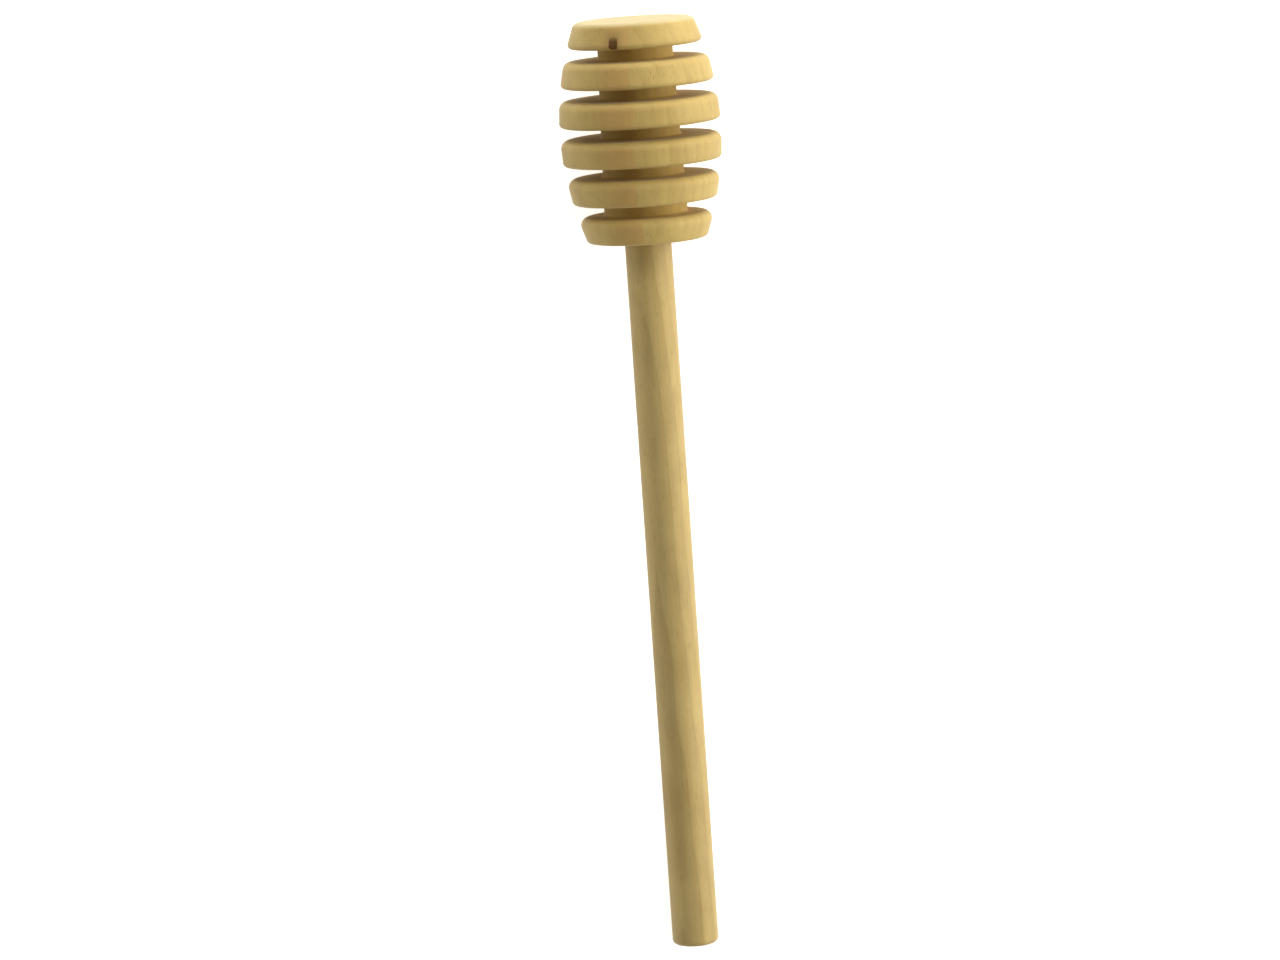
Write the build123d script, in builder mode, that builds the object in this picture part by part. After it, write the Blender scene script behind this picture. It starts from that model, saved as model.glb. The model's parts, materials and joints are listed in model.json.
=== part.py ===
from build123d import *
from math import asin, atan2, cos, degrees, hypot, sin, sqrt
import os

# A wooden honey dipper, lying on a table as it does between uses: a turned barrel
# cut into discs by five slots, and a dowel handle glued into a blind hole in its back.
# Millimetres. +Z is up, the table is z = 0, +X runs from the handle's tip to the head.
# Every profile is drawn as half of a lengthwise section: its X is the station along
# the tool, counted from the handle's tip, and its Y is the distance from the axis.

# Handle: a straight dowel with a rounded tip
handle_radius = 4.0
handle_free_length = 122.6
tip_rounding = 0.9

# The glued joint: the dowel's end is turned down and stands in a drilled hole, in a
# thin film of glue, and its shoulder closes the hole's mouth
socket_radius = 3.75
socket_depth = 20.0
socket_point_depth = 2.3
glue_film = 0.1
glue_pool_depth = 0.6
seat_bevel = 0.6

# Head: a barrel between two flat ends, widest halfway
belly_radius = 13.75
head_end_radius = 10.2
front_disc_thickness = 4.4
disc_thickness = 4.45
disc_count = 6
rim_rounding = 1.0

# Slots between the discs; their floors rise a little towards the handle
slot_width = 2.15
front_core_radius = 6.4
back_core_radius = 7.1
slot_root_rounding = 0.35

# How far every cut runs past the surface that it opens
cut_overrun = 2.0

# Stations along the tool
slot_count = disc_count - 1
pitch = disc_thickness + slot_width
head_length = front_disc_thickness + slot_count * pitch
head_back = handle_free_length
head_front = head_back + head_length
belly_station = head_back + head_length / 2

# The barrel's outline is one arc
barrel_rise = belly_radius - head_end_radius
barrel_arc_radius = ((head_length / 2) ** 2 + barrel_rise**2) / (2 * barrel_rise)

# The dowel's glued end
seat_radius = socket_radius - glue_film
seat_end = head_back + socket_depth - glue_pool_depth


# How the tool lies: on the edge of its tip and on its belly, so its axis climbs
# towards the head. The table touches the tip's rounding and the barrel's arc.
reach = belly_station - tip_rounding
climb = (barrel_arc_radius - belly_radius) + (handle_radius - tip_rounding)
tilt = asin((barrel_arc_radius - tip_rounding) / hypot(reach, climb)) - atan2(climb, reach)

tip_flat_radius = handle_radius - tip_rounding
tip_height = tip_rounding - tip_rounding * sin(tilt) + tip_flat_radius * cos(tilt)

# The tool's two ends along the table, counted from the middle of the tip
front_round_centre = head_front - rim_rounding
front_round_offset = (
    sqrt((barrel_arc_radius - rim_rounding) ** 2 - (front_round_centre - belly_station) ** 2)
    - (barrel_arc_radius - belly_radius)
)
tail = tip_rounding * cos(tilt) - tip_flat_radius * sin(tilt) - tip_rounding
nose = front_round_centre * cos(tilt) + front_round_offset * sin(tilt) + rim_rounding

section = Plane(
    origin=(-(tail + nose) / 2, 0, tip_height),
    x_dir=(cos(tilt), 0, sin(tilt)),
    z_dir=(0, -1, 0),
)
tool_axis = Axis(section.origin, section.x_dir)


def core_radius(slot):
    """Radius of the floor of one slot, the first being the one next to the front disc."""
    return front_core_radius + (back_core_radius - front_core_radius) * slot / (slot_count - 1)


def slot_middle(slot):
    """Station of the middle of one slot."""
    return head_front - front_disc_thickness - slot_width / 2 - slot * pitch


# Head
with BuildPart() as dipper_head:
    with BuildSketch(section) as barrel:
        with BuildLine():
            front_edge = (head_front, head_end_radius)
            back_edge = (head_back, head_end_radius)
            ThreePointArc(back_edge, (belly_station, belly_radius), front_edge)
            Polyline(front_edge, (head_front, 0), (head_back, 0), back_edge)
        make_face()
        for slot in range(slot_count):
            with Locations((slot_middle(slot), core_radius(slot))):
                Rectangle(
                    slot_width,
                    belly_radius + cut_overrun - core_radius(slot),
                    align=(Align.CENTER, Align.MIN),
                    mode=Mode.SUBTRACT,
                )
        corners = barrel.vertices().filter_by(lambda corner: corner.Y > 0)
        rims = corners.filter_by(lambda corner: corner.Y > max(front_core_radius, back_core_radius))
        roots = corners.filter_by(lambda corner: corner not in rims)
        fillet(rims, rim_rounding)
        fillet(roots, slot_root_rounding)
    revolve(axis=tool_axis)

    with BuildSketch(section) as socket:
        with BuildLine():
            Polyline(
                (head_back, 0),
                (head_back, socket_radius),
                (head_back + socket_depth, socket_radius),
                (head_back + socket_depth + socket_point_depth, 0),
                close=True,
            )
        make_face()
    revolve(axis=tool_axis, mode=Mode.SUBTRACT)

dipper_head.part.label = "dipper_head"


# Handle
with BuildPart() as handle:
    with BuildSketch(section) as dowel:
        with BuildLine():
            Polyline(
                (0, 0),
                (0, handle_radius),
                (head_back, handle_radius),
                (head_back, seat_radius),
                (seat_end, seat_radius),
                (seat_end, 0),
                close=True,
            )
        make_face()
        tip_corner = dowel.vertices().filter_by(lambda corner: corner.Y > 0).sort_by(Axis.X)[0]
        seat_corner = dowel.vertices().filter_by(lambda corner: corner.Y > 0).sort_by(Axis.X)[-1]
        fillet(tip_corner, tip_rounding)
        chamfer(seat_corner, seat_bevel)
    revolve(axis=tool_axis)

handle.part.label = "handle"


# Glue, cured in all the room that the dowel leaves in its hole
with BuildPart() as wood_glue:
    add(socket.sketch)
    revolve(axis=tool_axis)
    add(handle.part, mode=Mode.SUBTRACT)

wood_glue.part.label = "wood_glue"


os.makedirs("parts", exist_ok=True)
export_step(dipper_head.part, "parts/dipper_head.step")
export_step(handle.part, "parts/handle.step")
export_step(wood_glue.part, "parts/wood_glue.step")

print("overall length", round(head_front, 3), "tilt in degrees", round(degrees(tilt), 3))
print("axis", [round(value, 6) for value in section.x_dir])
print("tip on the axis", [round(value, 4) for value in section.origin])
print("front face centre", [round(value, 4) for value in section.from_local_coords((head_front, 0, 0))])
grip_middle = (head_back + tip_rounding) / 2
print("grip middle", [round(value, 4) for value in section.from_local_coords((grip_middle, 0, 0))])
print("grip length", round(head_back - tip_rounding, 3))
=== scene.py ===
import json
import math

import bmesh
import bpy
from bpy.props import FloatProperty, FloatVectorProperty, IntProperty, PointerProperty
from mathutils import Euler, Matrix, Vector


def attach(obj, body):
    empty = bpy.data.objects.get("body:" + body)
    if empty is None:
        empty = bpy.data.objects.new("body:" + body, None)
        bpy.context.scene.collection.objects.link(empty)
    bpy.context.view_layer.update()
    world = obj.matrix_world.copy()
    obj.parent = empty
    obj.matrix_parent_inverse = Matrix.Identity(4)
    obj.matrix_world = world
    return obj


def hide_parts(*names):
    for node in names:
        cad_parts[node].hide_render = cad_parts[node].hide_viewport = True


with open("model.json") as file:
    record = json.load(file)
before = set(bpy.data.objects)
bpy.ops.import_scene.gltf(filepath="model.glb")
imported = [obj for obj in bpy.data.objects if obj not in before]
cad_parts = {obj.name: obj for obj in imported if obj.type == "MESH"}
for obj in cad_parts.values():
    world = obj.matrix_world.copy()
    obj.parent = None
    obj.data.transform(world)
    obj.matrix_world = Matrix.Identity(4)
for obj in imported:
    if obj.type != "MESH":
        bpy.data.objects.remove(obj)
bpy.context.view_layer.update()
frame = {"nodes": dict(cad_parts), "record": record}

bl_info = {
    "name": "Honey Dipper",
    "version": (1, 0, 0),
    "blender": (4, 5, 0),
    "location": "3D View > Sidebar > Honey Dipper",
    "description": "Turned wooden honey dipper on a pale table",
    "category": "Add Mesh",
}

# The tool's own axis, taken from the packed part. Stations along it are counted from
# the handle's tip, which is where the tool's own coordinates have their origin.
MOUNTS = {mount["name"]: mount for mount in frame["record"]["mounts"]}
AXIS = Vector(MOUNTS["head_face"]["axis"]).normalized()
FRONT_CENTRE = Vector(MOUNTS["head_face"]["pos_m"])
TILT = math.asin(AXIS.z)
TOOL_TURN = Euler((0.0, -TILT, 0.0))

MILLIMETRE = 0.001


# Sizes and colours that a user would change

class HeadSizes(bpy.types.PropertyGroup):
    """Sizes of the turned head. Each name is also the name of an input of its tree"""

    disc_count: IntProperty(
        name="Discs", description="How many discs the barrel is cut into", default=6, min=2)
    front_disc: FloatProperty(
        name="Front disc", description="Thickness of the disc at the front end",
        default=0.0044, unit="LENGTH")
    disc: FloatProperty(
        name="Disc", description="Thickness of every other disc", default=0.00445, unit="LENGTH")
    slot: FloatProperty(
        name="Slot", description="Width of the slots between the discs",
        default=0.00215, unit="LENGTH")
    belly_radius: FloatProperty(
        name="Belly radius", description="The barrel's radius halfway along it",
        default=0.01375, unit="LENGTH")
    end_radius: FloatProperty(
        name="End radius", description="The barrel's radius at either flat end",
        default=0.0102, unit="LENGTH")
    front_core: FloatProperty(
        name="Front core", description="Radius of the floor of the slot nearest the front",
        default=0.0064, unit="LENGTH")
    back_core: FloatProperty(
        name="Back core", description="Radius of the floor of the slot nearest the handle",
        default=0.0071, unit="LENGTH")
    front_rounding: FloatProperty(
        name="Front rounding", description="Radius of the discs' front edges",
        default=0.0014, unit="LENGTH")
    back_rounding: FloatProperty(
        name="Back rounding", description="Radius of the discs' back edges",
        default=0.0007, unit="LENGTH")
    root_rounding: FloatProperty(
        name="Root rounding", description="Radius of the slots' inner corners",
        default=0.00035, unit="LENGTH")
    socket_radius: FloatProperty(
        name="Socket radius", description="Radius of the hole that the handle is glued into",
        default=0.00375, unit="LENGTH")
    socket_depth: FloatProperty(
        name="Socket depth", description="Depth of that hole's straight wall",
        default=0.0200, unit="LENGTH")
    socket_point: FloatProperty(
        name="Socket point", description="Depth of the drill's point beyond that wall",
        default=0.0023, unit="LENGTH")
    steps_around: IntProperty(
        name="Steps around", description="Mesh steps round the axis", default=240, min=24)
    step_length: FloatProperty(
        name="Step length", description="Longest mesh step along the section",
        default=0.00045, unit="LENGTH")
    unevenness: FloatProperty(
        name="Unevenness", description="How far sanding took the surface below its true shape",
        default=0.00006, unit="LENGTH")
    disc_spread: FloatProperty(
        name="Disc spread", description="How much smaller the smallest disc was turned",
        default=0.00008, unit="LENGTH")
    nick_depth: FloatProperty(
        name="Nick depth", description="Depth of the chips on the discs' edges",
        default=0.00022, unit="LENGTH")
    nick_size: FloatProperty(
        name="Nick size", description="How far across such a chip is",
        default=0.0011, unit="LENGTH")
    knot_inset: FloatProperty(
        name="Knot inset", description="How far behind the front end the pin knot lies",
        default=0.00325, unit="LENGTH")
    knot_turn: FloatProperty(
        name="Knot turn", description="Where the pin knot lies round the axis",
        default=1.235, subtype="ANGLE")
    knot_length: FloatProperty(
        name="Knot length", description="Half of the pin knot's size along the axis",
        default=0.00106, unit="LENGTH")
    knot_breadth: FloatProperty(
        name="Knot breadth", description="Half of the pin knot's size round the rim",
        default=0.00085, unit="LENGTH")
    knot_depth: FloatProperty(
        name="Knot depth", description="How far the pin knot has shrunk below the rim",
        default=0.00016, unit="LENGTH")
    seed: IntProperty(
        name="Seed", description="Fixes where the chips and uneven places fall", default=7)


class HandleSizes(bpy.types.PropertyGroup):
    """Sizes of the dowel handle. Each name is also the name of an input of its tree"""

    radius: FloatProperty(
        name="Radius", description="Radius of the dowel", default=0.0040, unit="LENGTH")
    free_length: FloatProperty(
        name="Free length", description="From the rounded tip to the head's back face",
        default=0.1226, unit="LENGTH")
    tip_rounding: FloatProperty(
        name="Tip rounding", description="Radius of the tip's rounded edge",
        default=0.0009, unit="LENGTH")
    seat_radius: FloatProperty(
        name="Seat radius", description="Radius of the end that is glued into the head",
        default=0.00365, unit="LENGTH")
    seat_length: FloatProperty(
        name="Seat length", description="How far that end goes into the head",
        default=0.0194, unit="LENGTH")
    seat_bevel: FloatProperty(
        name="Seat bevel", description="How far that end's edge is rounded off",
        default=0.0006, unit="LENGTH")
    steps_around: IntProperty(
        name="Steps around", description="Mesh steps round the axis", default=160, min=24)
    step_length: FloatProperty(
        name="Step length", description="Longest mesh step along the section",
        default=0.0004, unit="LENGTH")
    unevenness: FloatProperty(
        name="Unevenness", description="How far sanding took the surface below its true shape",
        default=0.00007, unit="LENGTH")
    nick_depth: FloatProperty(
        name="Nick depth", description="Depth of the small dents in the dowel",
        default=0.00010, unit="LENGTH")
    nick_size: FloatProperty(
        name="Nick size", description="How far across such a dent is",
        default=0.0012, unit="LENGTH")
    seed: IntProperty(
        name="Seed", description="Fixes where the dents and uneven places fall", default=3)


class WoodLook(bpy.types.PropertyGroup):
    """Colours and relief of the bare wood, the colours of the painted shade in the slots and of the
    painted highlight on the front face, and the glue's colour
    """

    pale: FloatVectorProperty(
        name="Pale wood", description="Earlywood, between the growth rings' lines",
        default=(0.54, 0.385, 0.120), size=3, min=0.0, max=1.0, subtype="COLOR")
    tan: FloatVectorProperty(
        name="Tan wood", description="Latewood and darker streaks",
        default=(0.40, 0.268, 0.073), size=3, min=0.0, max=1.0, subtype="COLOR")
    brown: FloatVectorProperty(
        name="Brown flecks", description="Ray flecks and pores",
        default=(0.20, 0.112, 0.034), size=3, min=0.0, max=1.0, subtype="COLOR")
    streak: FloatVectorProperty(
        name="Red streak", description="The redder wood of one growth layer along the head",
        default=(0.50, 0.283, 0.084), size=3, min=0.0, max=1.0, subtype="COLOR")
    handled: FloatVectorProperty(
        name="Handled wood", description="The dull tone that hands and washing leave on the dowel",
        default=(0.44, 0.36, 0.24), size=3, min=0.0, max=1.0, subtype="COLOR")
    # Painted shade: the warmer colour mixed in deep in the slots
    slot_shade: FloatVectorProperty(
        name="Slot shade", description="Painted shade: a warmer tone deep in the slots",
        default=(0.60, 0.365, 0.052), size=3, min=0.0, max=1.0, subtype="COLOR")
    # Painted highlight: the pale colour mixed into the front face
    front_highlight: FloatVectorProperty(
        name="Front highlight", description="Painted highlight: the front face made paler",
        default=(0.70, 0.625, 0.40), size=3, min=0.0, max=1.0, subtype="COLOR")
    knot: FloatVectorProperty(
        name="Pin knot", description="The dead knot in the front disc's rim",
        default=(0.098, 0.040, 0.001), size=3, min=0.0, max=1.0, subtype="COLOR")
    glue: FloatVectorProperty(
        name="Glue", description="Cured glue between handle and head",
        default=(0.78, 0.60, 0.30), size=3, min=0.0, max=1.0, subtype="COLOR")
    relief: FloatProperty(
        name="Relief", description="Depth of the bump that fibres and pores make",
        default=0.00004, unit="LENGTH")


class StageLook(bpy.types.PropertyGroup):
    """The table, the light and where the camera stands"""

    floor: FloatVectorProperty(
        name="Table", description="Colour of the table top",
        default=(0.95, 0.95, 0.945), size=3, min=0.0, max=1.0, subtype="COLOR")
    floor_size: FloatProperty(
        name="Table size", description="Side of the table top", default=6.0, unit="LENGTH")
    glow: FloatProperty(
        name="Table glow", description="Light that comes up through the pale table top",
        default=0.66)
    daylight: FloatProperty(
        name="Daylight", description="Strength of the even light from all round", default=0.385)
    daylight_colour: FloatVectorProperty(
        name="Daylight colour", description="Colour of the even light from all round",
        default=(0.97, 0.98, 1.0), size=3, min=0.0, max=1.0, subtype="COLOR")
    side_power: FloatProperty(
        name="Side light", description="Power of the large soft light at the right",
        default=5.5, unit="POWER")
    front_power: FloatProperty(
        name="Front light", description="Power of the low soft light beyond the head",
        default=3.5, unit="POWER")
    high_power: FloatProperty(
        name="High light", description="Power of the soft light above and beyond the head",
        default=1.7, unit="POWER")
    left_power: FloatProperty(
        name="Left light", description="Power of the weak low light at the left",
        default=0.40, unit="POWER")
    light_width: FloatProperty(
        name="Light width", description="Width of the soft lights", default=0.7, unit="LENGTH")
    light_rise: FloatProperty(
        name="Light rise", description="How tall the soft lights are", default=0.24, unit="LENGTH")
    side_height: FloatProperty(
        name="Side height", description="How high the side light stands over the table",
        default=math.radians(18.0), subtype="ANGLE")
    front_height: FloatProperty(
        name="Front height", description="How high the front light stands over the table",
        default=math.radians(6.0), subtype="ANGLE")
    high_height: FloatProperty(
        name="High height", description="How high the high light stands over the table",
        default=math.radians(50.0), subtype="ANGLE")
    left_height: FloatProperty(
        name="Left height", description="How high the left light stands over the table",
        default=math.radians(9.0), subtype="ANGLE")
    camera_distance: FloatProperty(
        name="Camera distance", description="From the camera to the head's front face",
        default=0.9, unit="LENGTH")
    camera_lean: FloatProperty(
        name="Camera lean", description="How far the camera looks from straight above, "
        "on the head's side", default=math.radians(4.6), subtype="ANGLE")
    camera_roll: FloatProperty(
        name="Camera roll", description="How far the dipper leans in the picture",
        default=math.radians(3.94), subtype="ANGLE")


# Writing node trees

class Term:
    """A number that a node tree works out, so that a formula in nodes reads as a formula"""

    def __init__(self, sheet, socket):
        self.sheet = sheet
        self.socket = socket

    def __add__(self, other):
        return self.sheet.math("ADD", self, other)

    __radd__ = __add__

    def __sub__(self, other):
        return self.sheet.math("SUBTRACT", self, other)

    def __rsub__(self, other):
        return self.sheet.math("SUBTRACT", other, self)

    def __mul__(self, other):
        return self.sheet.math("MULTIPLY", self, other)

    __rmul__ = __mul__

    def __truediv__(self, other):
        return self.sheet.math("DIVIDE", self, other)

    def __rtruediv__(self, other):
        return self.sheet.math("DIVIDE", other, self)

    def __pow__(self, other):
        return self.sheet.math("POWER", self, other)


class Sheet:
    """Fills one node tree: adds nodes, joins sockets and sets plain values"""

    COLUMNS = 14
    WIDTH = 190
    HEIGHT = 300

    def __init__(self, tree):
        self.tree = tree
        self.count = 0

    def node(self, kind, inputs=None, **settings):
        """Adds a node, with its settings, and feeds its inputs by name or number"""
        node = self.tree.nodes.new(kind)
        for name, value in settings.items():
            setattr(node, name, value)
        for key, value in (inputs or {}).items():
            self.feed(node.inputs[key], value)
        row, column = divmod(self.count, self.COLUMNS)
        node.location = (column * self.WIDTH, -row * self.HEIGHT)
        self.count += 1
        return node

    def feed(self, socket, value):
        """Joins a socket to a value that the tree works out, or sets it to a plain one"""
        if isinstance(value, Term):
            value = value.socket
        if isinstance(value, bpy.types.NodeSocket):
            self.tree.links.new(value, socket)
        else:
            socket.default_value = value

    def term(self, socket):
        return Term(self, socket)

    def math(self, operation, *values):
        """One step of arithmetic"""
        node = self.node("ShaderNodeMath", dict(enumerate(values)), operation=operation)
        return self.term(node.outputs[0])

    def root(self, value):
        return self.math("SQRT", value)

    def ramp(self, value, low, high, to_low=0.0, to_high=1.0, smooth=True):
        """Carries low..high over to to_low..to_high, and no further"""
        node = self.node(
            "ShaderNodeMapRange",
            {"Value": value, "From Min": low, "From Max": high, "To Min": to_low, "To Max": to_high},
            interpolation_type="SMOOTHSTEP" if smooth else "LINEAR",
        )
        return self.term(node.outputs["Result"])

    def vector(self, x=0.0, y=0.0, z=0.0):
        return self.node("ShaderNodeCombineXYZ", {"X": x, "Y": y, "Z": z}).outputs[0]

    def parts(self, vector):
        """A vector's three numbers"""
        node = self.node("ShaderNodeSeparateXYZ", {0: vector})
        return [self.term(socket) for socket in node.outputs]

    def noise(self, place, scale=1.0, detail=2.0, roughness=0.5):
        """Smooth noise about 0.5 at a place"""
        node = self.node(
            "ShaderNodeTexNoise",
            {"Vector": place, "Scale": scale, "Detail": detail, "Roughness": roughness},
            noise_dimensions="3D",
        )
        return self.term(node.outputs[0])

    def cells(self, place, scale=1.0):
        """Distance to the middle of the nearest of scattered cells, and that cell's own number"""
        node = self.node("ShaderNodeTexVoronoi", {"Vector": place, "Scale": scale})
        return self.term(node.outputs["Distance"]), self.parts(node.outputs["Color"])[0]


SOCKET_KINDS = {
    "FLOAT": "NodeSocketFloat",
    "INT": "NodeSocketInt",
}


def tree_with_inputs(name, group):
    """A geometry tree whose inputs are the sizes of a PropertyGroup, by their names"""
    tree = bpy.data.node_groups.new(name, "GeometryNodeTree")
    for key in group.__annotations__:
        prop = group.bl_rna.properties[key]
        socket = tree.interface.new_socket(
            prop.name, in_out="INPUT", socket_type=SOCKET_KINDS[prop.type])
        socket.default_value = prop.default
    return tree


def set_inputs(modifier, group):
    """Gives a modifier's inputs the values of a PropertyGroup, by the sockets' identifiers"""
    values = {group.bl_rna.properties[key].name: getattr(group, key) for key in group.__annotations__}
    for item in modifier.node_group.interface.items_tree:
        if item.item_type == "SOCKET" and item.in_out == "INPUT":
            modifier[item.identifier] = values[item.name]


def grow(name, tree, group):
    """A piece with a plain mesh, made by a geometry tree from the sizes of a PropertyGroup"""
    piece = bpy.data.objects.new(name, bpy.data.meshes.new(name + "_start"))
    bpy.context.scene.collection.objects.link(piece)
    modifier = piece.modifiers.new("form", "NODES")
    modifier.node_group = tree
    set_inputs(modifier, group)
    depsgraph = bpy.context.evaluated_depsgraph_get()
    mesh = bpy.data.meshes.new_from_object(piece.evaluated_get(depsgraph))
    piece.modifiers.remove(modifier)
    face_outward(mesh)
    piece.data = mesh
    mesh.name = name
    return piece


def face_outward(mesh):
    """Turns every face of a closed mesh outward"""
    form = bmesh.new()
    form.from_mesh(mesh)
    bmesh.ops.recalc_face_normals(form, faces=form.faces)
    form.to_mesh(mesh)
    form.free()


# Geometry trees

# Points nearer than this are joined where a turned piece closes, at its seam and poles
SEAM_GAP = 0.000002


def inputs_of(sheet):
    """The tree's own inputs by name"""
    node = sheet.node("NodeGroupInput")
    return {socket.name: sheet.term(socket) for socket in node.outputs if socket.name}


def pick(sheet, index, choices):
    """The choice with that index, and zero for an index past the last"""
    result = 0.0
    for number, choice in reversed(list(enumerate(choices))):
        same = sheet.node(
            "FunctionNodeCompare",
            {"A": index, "B": float(number), "Epsilon": 0.1},
            data_type="FLOAT",
            operation="EQUAL",
        )
        node = sheet.node(
            "GeometryNodeSwitch",
            {"Switch": same.outputs[0], "False": result, "True": choice},
            input_type="FLOAT",
        )
        result = sheet.term(node.outputs[0])
    return result


def section_curve(sheet, count, station, radius, rounding, slot_depth, step, arc_steps):
    """Half of a lengthwise section as a curve: corners by the point's index, rounded and divided"""
    line = sheet.node("GeometryNodeMeshLine", {"Count": count})
    corners = sheet.node(
        "GeometryNodeSetPosition",
        {"Geometry": line.outputs[0], "Position": sheet.vector(station, radius)},
    )
    geometry = corners.outputs[0]
    for name, value in {"rounding": rounding, "slot_depth": slot_depth}.items():
        geometry = store(sheet, geometry, name, value)
    curve = sheet.node("GeometryNodeMeshToCurve", {"Mesh": geometry})
    rounded = sheet.node(
        "GeometryNodeFilletCurve",
        {"Curve": curve.outputs[0], "Radius": named(sheet, "rounding"), "Count": arc_steps},
        mode="POLY",
    )
    here = sheet.node("GeometryNodeInputPosition").outputs[0]
    index = sheet.term(sheet.node("GeometryNodeInputIndex").outputs[0])
    after = sheet.node(
        "GeometryNodeFieldAtIndex", {"Index": index + 1, "Value": here}, data_type="FLOAT_VECTOR")
    run = sheet.node(
        "ShaderNodeVectorMath", {0: here, 1: after.outputs[0]}, operation="DISTANCE")
    cuts = sheet.math("FLOOR", sheet.term(run.outputs["Value"]) / step)
    divided = sheet.node("GeometryNodeSubdivideCurve", {"Curve": rounded.outputs[0], "Cuts": cuts})
    return divided.outputs[0]


def store(sheet, geometry, name, value):
    """Keeps a number on every point under a name"""
    node = sheet.node(
        "GeometryNodeStoreNamedAttribute",
        {"Geometry": geometry, "Name": name, "Value": value},
        data_type="FLOAT",
    )
    return node.outputs[0]


def named(sheet, name):
    """The number that every point keeps under a name"""
    node = sheet.node("GeometryNodeInputNamedAttribute", {"Name": name}, data_type="FLOAT")
    return sheet.term(node.outputs[0])


def lathe(sheet, curve, steps_around, wear):
    """Turns a section curve about the tool's axis. wear gives how far a place lies below its
    true surface, from the place, its turn and radius, its end-grain share and its edge share"""
    count = sheet.node("GeometryNodeAttributeDomainSize", {0: curve}, component="CURVE")
    columns = sheet.term(count.outputs["Point Count"])
    rows = steps_around + 1
    grid = sheet.node(
        "GeometryNodeMeshGrid",
        {"Size X": 1.0, "Size Y": 1.0, "Vertices X": columns, "Vertices Y": rows},
    )
    across, along, _ = sheet.parts(sheet.node("GeometryNodeInputPosition").outputs[0])
    column = sheet.math("ROUND", (across + 0.5) * (columns - 1.0))
    turn = (along + 0.5) * (2.0 * math.pi)

    def sampled(value, data_type):
        node = sheet.node(
            "GeometryNodeSampleIndex",
            {"Geometry": curve, "Index": column, "Value": value},
            data_type=data_type,
        )
        return node.outputs[0]

    place = sampled(sheet.node("GeometryNodeInputPosition").outputs[0], "FLOAT_VECTOR")
    tangent = sampled(sheet.node("GeometryNodeInputTangent").outputs[0], "FLOAT_VECTOR")
    slot_depth = sampled(named(sheet, "slot_depth"), "FLOAT")
    station, radius, _ = sheet.parts(place)
    run_along, run_out, _ = sheet.parts(tangent)

    cosine = sheet.math("COSINE", turn)
    sine = sheet.math("SINE", turn)
    end_grain = run_out * run_out
    edge = 4.0 * end_grain * run_along * run_along
    true_place = sheet.vector(station, radius * cosine, radius * sine)
    low = wear(true_place, turn, radius, end_grain, edge)
    new_radius = radius + run_along * low
    new_station = station - run_out * low

    geometry = grid.outputs[0]
    for name, value in {"end_grain": end_grain, "edge": edge, "slot_depth": slot_depth}.items():
        geometry = store(sheet, geometry, name, value)
    turned = sheet.node(
        "GeometryNodeSetPosition",
        {
            "Geometry": geometry,
            "Position": sheet.vector(new_station, new_radius * cosine, new_radius * sine),
        },
    )
    closed = sheet.node(
        "GeometryNodeMergeByDistance", {"Geometry": turned.outputs[0], "Distance": SEAM_GAP})
    return closed.outputs[0]


def place_on_tool(sheet, geometry, material):
    """Lays a turned piece along the tool's axis, gives it its material and ends the tree"""
    tip = FRONT_CENTRE - AXIS * tool_length()
    laid = sheet.node(
        "GeometryNodeTransform",
        {"Geometry": geometry, "Translation": tip, "Rotation": TOOL_TURN},
    )
    smooth = sheet.node("GeometryNodeSetShadeSmooth", {"Geometry": laid.outputs[0]})
    real = sheet.node("GeometryNodeRealizeInstances", {"Geometry": smooth.outputs[0]})
    painted = sheet.node(
        "GeometryNodeSetMaterial", {"Geometry": real.outputs[0], "Material": material})
    sheet.tree.interface.new_socket("Geometry", in_out="OUTPUT", socket_type="NodeSocketGeometry")
    sheet.node("NodeGroupOutput", {"Geometry": painted.outputs[0]})


def dents(sheet, place, size, share, seed):
    """Scattered round dents of that size, as a depth from 0 to 1. share is how many of the
    cells have one, and a dent is about a third as wide as the cells stand apart"""
    far = sheet.vector(seed * 0.37, seed * 0.11, seed * 0.23)
    moved = sheet.node("ShaderNodeVectorMath", {0: place, 1: far}, operation="ADD").outputs[0]
    spacing = 3.2 * size
    distance, number = sheet.cells(moved, scale=1.0 / spacing)
    bowl = sheet.ramp(distance, 0.0, 0.16, 1.0, 0.0)
    chosen = sheet.math("LESS_THAN", number, share)
    return bowl * chosen


def squarish(first, second):
    """Distance from a middle, for a form between a round one and a square one"""
    return (first**4.0 + second**4.0) ** 0.25


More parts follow.
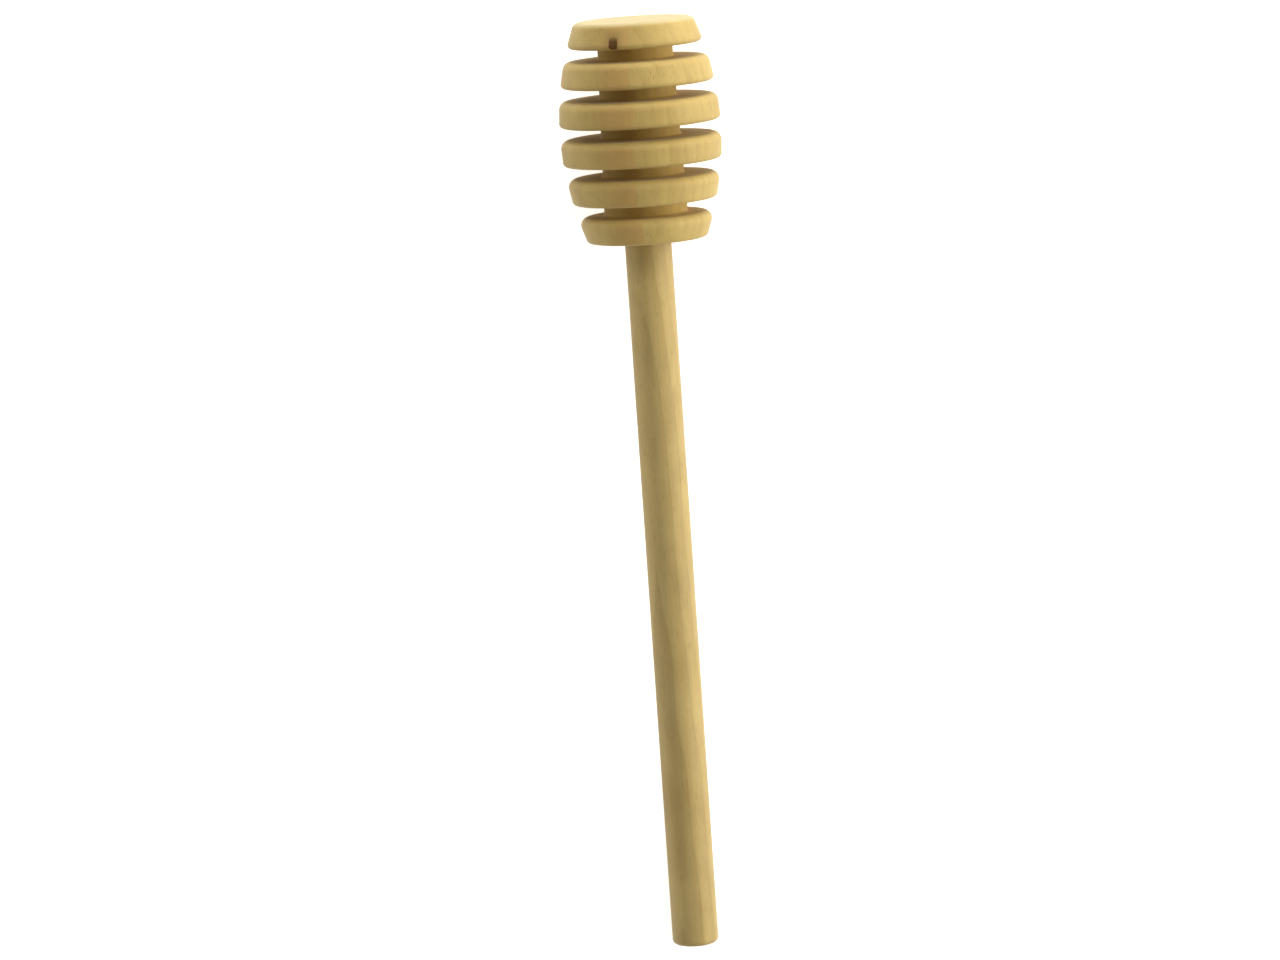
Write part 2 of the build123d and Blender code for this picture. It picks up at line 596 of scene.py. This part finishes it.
def head_tree(material):
    """The turned head: a barrel cut by slots, from one half section"""
    tree = tree_with_inputs("dipper_head_form", HeadSizes)
    sheet = Sheet(tree)
    size = inputs_of(sheet)
    front_station = tool_length()
    slots = size["Discs"] - 1.0
    pitch = size["Disc"] + size["Slot"]
    length = size["Front disc"] + slots * pitch
    middle = length / 2.0
    rise = size["Belly radius"] - size["End radius"]
    arc_radius = (middle * middle + rise * rise) / (2.0 * rise)

    # Corners are numbered from the front's centre: four for every disc and the slot behind it
    index = sheet.term(sheet.node("GeometryNodeInputIndex").outputs[0])
    corner = index - 1.0
    disc = sheet.math("FLOOR", corner / 4.0 + 0.01)
    kind = sheet.math("ROUND", corner - 4.0 * disc)
    back_of_disc = disc * pitch + size["Front disc"]
    is_first = sheet.math("LESS_THAN", disc, 0.5)
    front_of_disc = (back_of_disc - size["Disc"]) * (1.0 - is_first)
    back = pick(sheet, kind, [front_of_disc, back_of_disc, back_of_disc, back_of_disc + size["Slot"]])
    from_middle = back - middle
    barrel = sheet.root(arc_radius * arc_radius - from_middle * from_middle) - (
        arc_radius - size["Belly radius"])
    lot = sheet.node(
        "FunctionNodeRandomValue", {"ID": disc, "Seed": size["Seed"]}, data_type="FLOAT")
    barrel = barrel - size["Disc spread"] * sheet.term(lot.outputs[1])
    core = size["Front core"] + (size["Back core"] - size["Front core"]) * disc / (slots - 1.0)
    out = pick(sheet, kind, [barrel, barrel, core, core])
    root = size["Root rounding"]
    corner_rounding = pick(
        sheet, kind, [size["Front rounding"], size["Back rounding"], root, root])

    # After the last disc's back edge comes the socket for the handle
    corners = 4.0 * size["Discs"] - 2.0
    in_socket = sheet.math("ROUND", corner - corners)
    is_socket = sheet.math("GREATER_THAN", in_socket, -0.5)
    is_front = sheet.math("LESS_THAN", index, 0.5)
    on_barrel = (1.0 - is_socket) * (1.0 - is_front)
    socket_floor = length - size["Socket depth"]
    socket_back = pick(
        sheet, in_socket, [length, socket_floor, socket_floor - size["Socket point"]])
    socket_out = pick(sheet, in_socket, [size["Socket radius"], size["Socket radius"], 0.0])
    station = front_station - (back * on_barrel + socket_back * is_socket)
    radius = out * on_barrel + socket_out * is_socket
    slot_depth = on_barrel * sheet.math("GREATER_THAN", kind, 1.5)

    curve = section_curve(
        sheet, corners + 4.0, station, radius, corner_rounding * on_barrel, slot_depth,
        size["Step length"], arc_steps=6)

    def wear(place, turn, radius, end_grain, edge):
        uneven = sheet.noise(place, scale=170.0)
        ripple = sheet.noise(place, scale=900.0, detail=1.0)
        chips = dents(sheet, place, size["Nick size"], share=0.11, seed=size["Seed"])
        x, _, _ = sheet.parts(place)
        along = (x - (front_station - size["Knot inset"])) / size["Knot length"]
        round_rim = (turn - size["Knot turn"]) * radius / size["Knot breadth"]
        knot = sheet.ramp(squarish(along, round_rim), 0.55, 1.15, 1.0, 0.0)
        outside = sheet.ramp(radius, 0.4 * size["End radius"], 0.6 * size["End radius"])
        low = (
            size["Unevenness"] * (0.75 * uneven + 0.25 * ripple)
            + size["Nick depth"] * chips * sheet.ramp(edge, 0.1, 0.7)
            + size["Knot depth"] * knot * (1.0 - end_grain)
        )
        return low * outside

    turned = lathe(sheet, curve, size["Steps around"], wear)
    place_on_tool(sheet, turned, material)
    return tree


def handle_tree(material):
    """The dowel handle: a rounded tip, a long straight wall and the end glued into the head"""
    tree = tree_with_inputs("handle_form", HandleSizes)
    sheet = Sheet(tree)
    size = inputs_of(sheet)
    index = sheet.term(sheet.node("GeometryNodeInputIndex").outputs[0])
    seat_end = size["Free length"] + size["Seat length"]
    station = pick(
        sheet, index, [seat_end, seat_end, size["Free length"], size["Free length"], 0.0, 0.0])
    radius = pick(
        sheet, index,
        [0.0, size["Seat radius"], size["Seat radius"], size["Radius"], size["Radius"], 0.0])
    rounding = pick(
        sheet, index, [0.0, size["Seat bevel"], 0.0, 0.0, size["Tip rounding"], 0.0])
    curve = section_curve(
        sheet, 6, station, radius, rounding, 0.0, size["Step length"], arc_steps=7)

    def wear(place, turn, radius, end_grain, edge):
        x, y, z = sheet.parts(place)
        drawn_out = sheet.vector(x * 0.18, y, z)
        uneven = sheet.noise(drawn_out, scale=260.0)
        marks = dents(sheet, drawn_out, size["Nick size"], share=0.06, seed=size["Seed"])
        outside = sheet.ramp(radius, 0.4 * size["Radius"], 0.8 * size["Radius"])
        return (size["Unevenness"] * uneven + size["Nick depth"] * marks) * outside

    turned = lathe(sheet, curve, size["Steps around"], wear)
    place_on_tool(sheet, turned, material)
    return tree


# Materials

def new_group(name, inputs, outputs):
    """An empty shader group with named sockets. Inputs are (name, kind, default)"""
    tree = bpy.data.node_groups.new(name, "ShaderNodeTree")
    for socket_name, kind, default in inputs:
        socket = tree.interface.new_socket(socket_name, in_out="INPUT", socket_type=kind)
        if default is not None:
            socket.default_value = default
    for socket_name, kind in outputs:
        tree.interface.new_socket(socket_name, in_out="OUTPUT", socket_type=kind)
    return tree


def mix_colours(sheet, share, first, second):
    """From the first colour to the second by a share"""
    # Inputs 6 and 7 and output 2 are the node's colour sockets
    node = sheet.node("ShaderNodeMix", {"Factor": share, 6: first, 7: second}, data_type="RGBA")
    return node.outputs[2]


def grain_group():
    """Close-grained wood in the tool's own millimetres, its fibres along X. Growth rings lie
    round a pith line beside the piece; across the fibres the same rings, rays and pores show
    as end grain"""
    tree = new_group(
        "close_grain",
        [
            ("Place", "NodeSocketVector", None),
            ("End grain", "NodeSocketFloat", 0.0),
            ("Pith across", "NodeSocketFloat", 24.0),
            ("Pith up", "NodeSocketFloat", 12.0),
            ("Pith lean", "NodeSocketFloat", 0.02),
            ("Ring width", "NodeSocketFloat", 1.7),
            ("Wander", "NodeSocketFloat", 0.7),
            ("Figure", "NodeSocketFloat", 1.0),
            ("Pale", "NodeSocketColor", (0.8, 0.6, 0.3, 1.0)),
            ("Tan", "NodeSocketColor", (0.6, 0.4, 0.2, 1.0)),
            ("Brown", "NodeSocketColor", (0.3, 0.2, 0.1, 1.0)),
        ],
        [
            ("Color", "NodeSocketColor"),
            ("Roughness", "NodeSocketFloat"),
            ("Height", "NodeSocketFloat"),
        ],
    )
    sheet = Sheet(tree)
    given = inputs_of(sheet)
    end_grain = given["End grain"]
    x, y, z = sheet.parts(given["Place"])

    # Growth rings
    bend_place = sheet.vector(x * 0.016, y * 0.05, z * 0.05)
    bend = sheet.noise(bend_place) - 0.5
    bend_place_2 = sheet.vector(x * 0.02 + 31.0, y * 0.05, z * 0.05)
    bend_2 = sheet.noise(bend_place_2) - 0.5
    from_pith_y = y - given["Pith across"] - given["Pith lean"] * x + bend * given["Wander"] * 5.0
    from_pith_z = z - given["Pith up"] + bend_2 * given["Wander"] * 5.0
    from_pith = sheet.root(from_pith_y * from_pith_y + from_pith_z * from_pith_z)
    jitter = sheet.noise(sheet.vector(x * 0.03, y * 0.6, z * 0.6), detail=3.0) - 0.5
    rings = from_pith / given["Ring width"] + jitter * 0.35
    ring_share = sheet.math("FRACT", rings)
    latewood = sheet.ramp(ring_share, 0.25, 0.93) * sheet.ramp(ring_share, 0.93, 1.0, 1.0, 0.0)
    line = sheet.ramp(ring_share, 0.80, 0.94) * sheet.ramp(ring_share, 0.95, 1.0, 1.0, 0.0)
    year = sheet.noise(sheet.vector(sheet.math("FLOOR", rings) * 3.7, 0.5, 0.5), detail=0.0)

    # Fibres, pores and rays
    streaks = sheet.noise(sheet.vector(x * 0.035, y * 1.1, z * 1.1), detail=4.0, roughness=0.6)
    fibres = sheet.noise(sheet.vector(x * 0.16, y * 5.5, z * 5.5))
    pores = sheet.noise(sheet.vector(x * 0.55, y * 9.0, z * 9.0), detail=1.0)
    pore_mask = sheet.ramp(pores, 0.62, 0.75)
    ray_distance, ray_number = sheet.cells(sheet.vector(x * 0.42, y * 2.1, z * 2.1))
    ray_mask = sheet.ramp(ray_distance, 0.10, 0.30, 1.0, 0.0) * sheet.math(
        "LESS_THAN", ray_number, 0.42)
    angle = sheet.math("ARCTAN2", from_pith_z, from_pith_y)
    spokes = sheet.noise(sheet.vector(angle * 90.0, from_pith * 0.25, 0.0))
    cloud = sheet.noise(given["Place"], scale=0.06)
    blotch = sheet.noise(sheet.vector(x * 0.13, y * 0.24, z * 0.24))

    # Tone from 0, pale, to 1, tan
    tone = (
        given["Figure"] * (0.16 * latewood + 0.05 * line + 0.18 * (year - 0.5))
        + 0.56 * (streaks - 0.42)
        + 0.24 * (fibres - 0.5)
        + 0.7 * (cloud - 0.5)
        + 1.2 * (blotch - 0.5)
        + 0.10 * end_grain
        + 0.5 * (spokes - 0.5) * end_grain
        + 0.30
    )
    tone = sheet.ramp(tone, 0.0, 1.0, smooth=False)
    colour = mix_colours(sheet, tone, given["Pale"], given["Tan"])
    fleck = (0.24 * ray_mask + 0.13 * pore_mask) * (1.0 - 0.5 * end_grain)
    fleck = fleck + 0.20 * pore_mask * end_grain
    colour = mix_colours(sheet, fleck, colour, given["Brown"])

    rough = 0.50 + 0.10 * fibres + 0.12 * end_grain + 0.08 * pore_mask + 0.05 * cloud
    height = (
        0.40 * fibres
        + 0.25 * streaks
        - 0.45 * pore_mask * (1.0 - 0.5 * end_grain)
        - 0.20 * ray_mask
        + 0.15 * latewood
    )
    sheet.node("NodeGroupOutput", {"Color": colour, "Roughness": rough, "Height": height})
    return tree


def tool_coordinates(sheet):
    """Object coordinates turned and moved into the tool's own, in millimetres"""
    tip = FRONT_CENTRE - AXIS * tool_length()
    source = sheet.node("ShaderNodeTexCoord")
    mapping = sheet.node(
        "ShaderNodeMapping",
        {
            "Vector": source.outputs["Object"],
            "Location": tip,
            "Rotation": TOOL_TURN,
            "Scale": (MILLIMETRE, MILLIMETRE, MILLIMETRE),
        },
        vector_type="TEXTURE",
    )
    return mapping.outputs[0]


def attribute(sheet, name):
    """A number that the piece's points keep"""
    node = sheet.node("ShaderNodeAttribute", attribute_name=name, attribute_type="GEOMETRY")
    return sheet.term(node.outputs["Fac"])


def opaque(colour):
    return (*colour, 1.0)


def new_material(name):
    material = bpy.data.materials.new(name)
    material.use_nodes = True
    material.node_tree.nodes.clear()
    return material, Sheet(material.node_tree)


def finish_material(sheet, colour, roughness, height, relief, **constants):
    """The shader itself: colour, roughness and a bump of that relief in metres"""
    bump = sheet.node("ShaderNodeBump", {"Strength": 1.0, "Distance": relief, "Height": height})
    shader = sheet.node(
        "ShaderNodeBsdfPrincipled",
        {"Base Color": colour, "Roughness": roughness, "Normal": bump.outputs[0], **constants},
    )
    sheet.node("ShaderNodeOutputMaterial", {"Surface": shader.outputs[0]})


# Bare sanded wood: a low gloss, and a fine fuzz of fibres that catches the light at a slant
SANDED = {
    "Sheen Weight": 0.08, "Sheen Roughness": 0.4, "Sheen Tint": (1.0, 0.93, 0.80, 1.0),
    "Specular IOR Level": 0.25,
}


def grain_node(sheet, group, look, place, **values):
    node = sheet.node("ShaderNodeGroup", node_tree=group)
    sheet.feed(node.inputs["Place"], place)
    sheet.feed(node.inputs["Pale"], opaque(look.pale))
    sheet.feed(node.inputs["Tan"], opaque(look.tan))
    sheet.feed(node.inputs["Brown"], opaque(look.brown))
    for name, value in values.items():
        sheet.feed(node.inputs[name.replace("_", " ")], value)
    return node


def turned_wood(group, look, sizes):
    """The head's wood: a pin knot, a redder layer, torn grain on the rims, painted shade deep in the
    slots and painted highlights on the rim edges and the front face
    """
    material, sheet = new_material("turned_wood")
    place = tool_coordinates(sheet)
    x, y, z = sheet.parts(place)
    end_grain = attribute(sheet, "end_grain")
    edge = attribute(sheet, "edge")
    slot_depth = attribute(sheet, "slot_depth")
    radius = sheet.root(y * y + z * z)

    # The pin knot is a small branch that runs in towards the core
    knot_station = (tool_length() - sizes.knot_inset) / MILLIMETRE
    turn = sheet.math("ARCTAN2", z, y)
    along = (x - knot_station) / (sizes.knot_length / MILLIMETRE)
    round_rim = (turn - sizes.knot_turn) * radius / (sizes.knot_breadth / MILLIMETRE)
    shake = 0.35 * (sheet.noise(place, scale=2.4, detail=3.0) - 0.5)
    from_knot = squarish(along, round_rim) + shake
    knot = sheet.ramp(from_knot, 0.80, 1.02, 1.0, 0.0)
    halo = sheet.ramp(from_knot, 0.9, 2.6, 1.0, 0.0)

    grain = grain_node(
        sheet, group, look, place,
        End_grain=end_grain, Pith_across=-19.0, Pith_up=-16.0, Pith_lean=0.03,
        Ring_width=1.9, Wander=0.8, Figure=0.9)
    colour = grain.outputs["Color"]

    # A redder layer runs through all the discs. It starts softly and ends sharply near the top
    wander = sheet.noise(sheet.vector(x * 0.05, y * 0.25, z * 0.25)) - 0.5
    layer = turn + 0.16 * wander
    layer = sheet.ramp(layer, 0.90, 1.20) * sheet.ramp(layer, 1.47, 1.50, 1.0, 0.0)
    colour = mix_colours(sheet, 0.6 * layer * (1.0 - end_grain), colour, opaque(look.streak))

    # Turning marks: fine rings that follow the tool, on rims and on slot walls
    rim_marks = sheet.noise(sheet.vector(x * 5.0, 0.0, 0.0))
    wall_marks = sheet.noise(sheet.vector(radius * 4.0, 7.0, x * 0.3))
    marks = rim_marks * (1.0 - end_grain) + wall_marks * end_grain

    # Torn grain: short lengthwise scratches, in patches on the rims
    patch = sheet.ramp(sheet.noise(place, scale=0.22), 0.50, 0.68)
    torn = sheet.noise(sheet.vector(x * 0.5, y * 3.6, z * 3.6), detail=3.0, roughness=0.6)
    torn = sheet.ramp(torn, 0.56, 0.70) * patch * (1.0 - end_grain)

    colour = mix_colours(sheet, 0.35 * torn, colour, opaque(look.brown))
    # Painted shade: a warmer, more saturated tone deep in the slots, in patches, growing with the
    # slot's depth
    shade_share = sheet.ramp(slot_depth, 0.15, 1.0) * (0.30 + 0.7 * sheet.noise(place, scale=0.12))
    colour = mix_colours(sheet, 0.5 * shade_share, colour, opaque(look.slot_shade))
    # Painted highlight: the rounded rim edges outside the slots are made paler
    colour = mix_colours(sheet, 0.22 * edge * (1.0 - slot_depth), colour, opaque(look.pale))
    # Painted highlight: the front face and the last of its rounded edge are made paler in patches
    front = tool_length() / MILLIMETRE
    front_glare = sheet.ramp(x, front - 0.7, front - 0.1) * (0.28 + 0.24 * sheet.noise(place, scale=0.5))
    colour = mix_colours(sheet, front_glare, colour, opaque(look.front_highlight))
    colour = mix_colours(sheet, 0.30 * halo, colour, opaque(look.brown))
    knot_rings = sheet.ramp(sheet.math("SINE", from_knot * 17.0), -1.0, 1.0, 0.0, 0.2)
    knot_colour = mix_colours(sheet, knot_rings, opaque(look.knot), opaque(look.brown))
    sound_side = sheet.ramp(along, 0.1, 1.1, 1.0, 0.35)
    colour = mix_colours(sheet, knot * sound_side, colour, knot_colour)

    rough = sheet.term(grain.outputs["Roughness"]) + 0.10 * slot_depth - 0.06 * edge
    height = sheet.term(grain.outputs["Height"]) + 0.35 * marks - 0.9 * torn - 0.8 * knot
    finish_material(sheet, colour, rough, height, look.relief, **SANDED)
    return material


def dowel_wood(group, look):
    """The handle's wood: the same kind, cut from another board, so its rings run otherwise"""
    material, sheet = new_material("dowel_wood")
    place = tool_coordinates(sheet)
    x, y, z = sheet.parts(place)
    end_grain = attribute(sheet, "end_grain")
    edge = attribute(sheet, "edge")
    grain = grain_node(
        sheet, group, look, place,
        End_grain=end_grain, Pith_across=17.0, Pith_up=22.0, Pith_lean=0.06,
        Ring_width=2.2, Wander=0.9, Figure=2.2)
    colour = grain.outputs["Color"]
    rub = sheet.noise(sheet.vector(x * 0.9, y * 7.0, z * 7.0))
    pits = sheet.ramp(rub, 0.66, 0.74)
    colour = mix_colours(sheet, 0.12 * pits, colour, opaque(look.brown))
    colour = mix_colours(sheet, 0.30 * edge, colour, opaque(look.tan))
    dulled = 0.06 + 0.16 * sheet.noise(sheet.vector(x * 0.05, y * 0.3, z * 0.3))
    colour = mix_colours(sheet, dulled, colour, opaque(look.handled))
    rough = sheet.term(grain.outputs["Roughness"])
    height = sheet.term(grain.outputs["Height"]) - 0.7 * pits
    finish_material(sheet, colour, rough, height, look.relief, **SANDED)
    return material


def cured_glue(look):
    """Cured wood glue: an amber film, a little cloudy, with fine bubbles"""
    material, sheet = new_material("cured_glue")
    place = tool_coordinates(sheet)
    cloud = sheet.noise(place, scale=0.8, detail=3.0)
    distance, _ = sheet.cells(place, scale=1.6)
    bubble = sheet.ramp(distance, 0.08, 0.2, 1.0, 0.0)
    colour = mix_colours(sheet, cloud, opaque(look.glue), opaque(look.pale))
    finish_material(sheet, colour, 0.3 + 0.2 * cloud, 0.0 - bubble, relief=0.00005)
    return material


def table_top(look):
    """The pale table: almost even, with a faint mottle"""
    material, sheet = new_material("table_top")
    source = sheet.node("ShaderNodeTexCoord").outputs["Object"]
    mottle = sheet.noise(source, scale=14.0, detail=3.0)
    darker = [0.98 * part for part in look.floor]
    colour = mix_colours(sheet, mottle, opaque(look.floor), opaque(darker))
    fine = sheet.noise(source, scale=900.0)
    finish_material(
        sheet, colour, 0.62 + 0.08 * mottle, fine, relief=0.00002,
        **{"Emission Color": opaque(look.floor), "Emission Strength": look.glow})
    return material


# Pieces

def tool_length():
    """From the handle's tip to the head's front face"""
    return (FRONT_CENTRE - tool_tip()).length


def tool_tip():
    """The handle's tip on the tool's axis, from the packed handle's mount"""
    grip = MOUNTS["handle_shaft"]
    sizes = bpy.context.scene.handle_sizes
    half = grip["dims"]["length_mm"] * MILLIMETRE / 2.0
    return Vector(grip["pos_m"]) - AXIS * (half + sizes.tip_rounding)


def seat(piece, node):
    """Puts a visual piece in a CAD node's place"""
    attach(piece, "root")
    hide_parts(node)


def wood_group():
    return bpy.data.node_groups.get("close_grain") or grain_group()


class DIPPER_OT_head(bpy.types.Operator):
    """Make the turned head in place of its CAD solid"""

    bl_idname = "dipper.head"
    bl_label = "Turned head"

    def execute(self, context):
        scene = context.scene
        material = turned_wood(wood_group(), scene.wood_look, scene.head_sizes)
        piece = grow("turned_head", head_tree(material), scene.head_sizes)
        seat(piece, "dipper_head")
        return {"FINISHED"}


class DIPPER_OT_handle(bpy.types.Operator):
    """Make the dowel handle in place of its CAD solid"""

    bl_idname = "dipper.handle"
    bl_label = "Dowel handle"

    def execute(self, context):
        scene = context.scene
        material = dowel_wood(wood_group(), scene.wood_look)
        piece = grow("dowel_handle", handle_tree(material), scene.handle_sizes)
        seat(piece, "handle")
        return {"FINISHED"}


class DIPPER_OT_glue(bpy.types.Operator):
    """Give the cured glue in the socket its finish"""

    bl_idname = "dipper.glue"
    bl_label = "Glue"

    def execute(self, context):
        glue = frame["nodes"]["wood_glue"]
        glue.data.materials.clear()
        glue.data.materials.append(cured_glue(context.scene.wood_look))
        return {"FINISHED"}


# The photograph's camera, fitted to the dipper's outline in its 1280 x 960 pixels
PHOTO_SIZE = (1280.0, 960.0)
HEAD_PIXEL = (632.9, 18.9)
PIXELS_PER_METRE = 5929.0
SENSOR_WIDTH = 36.0

# The lamps stand round a point on the tool's axis, this far behind the head's front face
AIM_INSET = 0.05
LAMP_DISTANCE = 0.8

# Their headings over the table, in radians from +X
RIGHT = -1.5
AHEAD = -0.12
LEFT = 1.5


class DIPPER_OT_stage(bpy.types.Operator):
    """Lay the table, set the light and stand the camera where the photograph's stood"""

    bl_idname = "dipper.stage"
    bl_label = "Stage"

    def execute(self, context):
        look = context.scene.stage_look
        self.lay_table(look)
        self.set_light(context.scene, look)
        self.stand_camera(context.scene, look)
        return {"FINISHED"}

    def lay_table(self, look):
        half = look.floor_size / 2.0
        corners = [(-half, -half, 0.0), (half, -half, 0.0), (half, half, 0.0), (-half, half, 0.0)]
        mesh = bpy.data.meshes.new("table")
        mesh.from_pydata(corners, [], [(0, 1, 2, 3)])
        table = bpy.data.objects.new("table", mesh)
        bpy.context.scene.collection.objects.link(table)
        mesh.materials.append(table_top(look))

    def set_light(self, scene, look):
        world = bpy.data.worlds.new("studio")
        world.use_nodes = True
        background = world.node_tree.nodes["Background"]
        background.inputs["Color"].default_value = opaque(look.daylight_colour)
        background.inputs["Strength"].default_value = look.daylight
        scene.world = world
        self.add_light("side", look, RIGHT)
        self.add_light("front", look, AHEAD)
        self.add_light("high", look, AHEAD)
        self.add_light("left", look, LEFT)
        scene.view_settings.view_transform = "Standard"

    def add_light(self, name, look, heading):
        """A soft lamp with a wide, low panel, whose power and height the settings hold"""
        light = bpy.data.lights.new(name, "AREA")
        light.energy = getattr(look, name + "_power")
        light.shape = "RECTANGLE"
        light.size, light.size_y = look.light_width, look.light_rise
        lamp = bpy.data.objects.new(name, light)
        height = getattr(look, name + "_height")
        level = math.cos(height)
        away = Vector((level * math.cos(heading), level * math.sin(heading), math.sin(height)))
        bpy.context.scene.collection.objects.link(lamp)
        lamp.location = FRONT_CENTRE - AXIS * AIM_INSET + away * LAMP_DISTANCE
        lamp.rotation_euler = (-away).to_track_quat("-Z", "Y").to_euler()

    def stand_camera(self, scene, look):
        data = bpy.data.cameras.new("camera")
        camera = bpy.data.objects.new("camera", data)
        scene.collection.objects.link(camera)
        lean, roll = look.camera_lean, look.camera_roll
        level_up = Vector((math.cos(lean), 0.0, -math.sin(lean)))
        level_right = Vector((0.0, -1.0, 0.0))
        up = math.cos(roll) * level_up + math.sin(roll) * level_right
        right = math.cos(roll) * level_right - math.sin(roll) * level_up
        forward = up.cross(right)
        pixels = Vector(HEAD_PIXEL) - Vector(PHOTO_SIZE) / 2.0
        offset = (right * pixels.x - up * pixels.y) / PIXELS_PER_METRE
        camera.location = FRONT_CENTRE - forward * look.camera_distance - offset
        camera.rotation_euler = camera_turn(right, up, forward)
        data.sensor_width = SENSOR_WIDTH
        data.lens = PIXELS_PER_METRE * look.camera_distance / PHOTO_SIZE[0] * SENSOR_WIDTH
        data.clip_start, data.clip_end = 0.01, 50.0
        scene.camera = camera


def camera_turn(right, up, forward):
    """The turn of a camera from the directions of its picture"""
    return Matrix((right, up, -forward)).transposed().to_euler()


class DIPPER_PT_panel(bpy.types.Panel):
    """The dipper's sizes, colours and steps"""

    bl_label = "Honey Dipper"
    bl_idname = "DIPPER_PT_panel"
    bl_space_type = "VIEW_3D"
    bl_region_type = "UI"
    bl_category = "Honey Dipper"

    def draw(self, context):
        layout = self.layout
        for step in STEPS:
            layout.operator(step.bl_idname)
        for name, group in SETTINGS.items():
            box = layout.box()
            box.label(text=group.__doc__.split(".")[0])
            for key in group.__annotations__:
                box.prop(getattr(context.scene, name), key)


SETTINGS = {
    "head_sizes": HeadSizes,
    "handle_sizes": HandleSizes,
    "wood_look": WoodLook,
    "stage_look": StageLook,
}
STEPS = (DIPPER_OT_head, DIPPER_OT_handle, DIPPER_OT_glue, DIPPER_OT_stage)


def register():
    for settings in SETTINGS.values():
        bpy.utils.register_class(settings)
    for name, settings in SETTINGS.items():
        setattr(bpy.types.Scene, name, PointerProperty(type=settings))
    for step in STEPS:
        bpy.utils.register_class(step)
    bpy.utils.register_class(DIPPER_PT_panel)


def unregister():
    bpy.utils.unregister_class(DIPPER_PT_panel)
    for step in reversed(STEPS):
        bpy.utils.unregister_class(step)
    for name, settings in SETTINGS.items():
        delattr(bpy.types.Scene, name)
        bpy.utils.unregister_class(settings)


def main():
    register()
    bpy.ops.dipper.head()
    bpy.ops.dipper.handle()
    bpy.ops.dipper.glue()
    bpy.ops.dipper.stage()


if __name__ == "__main__":
    main()
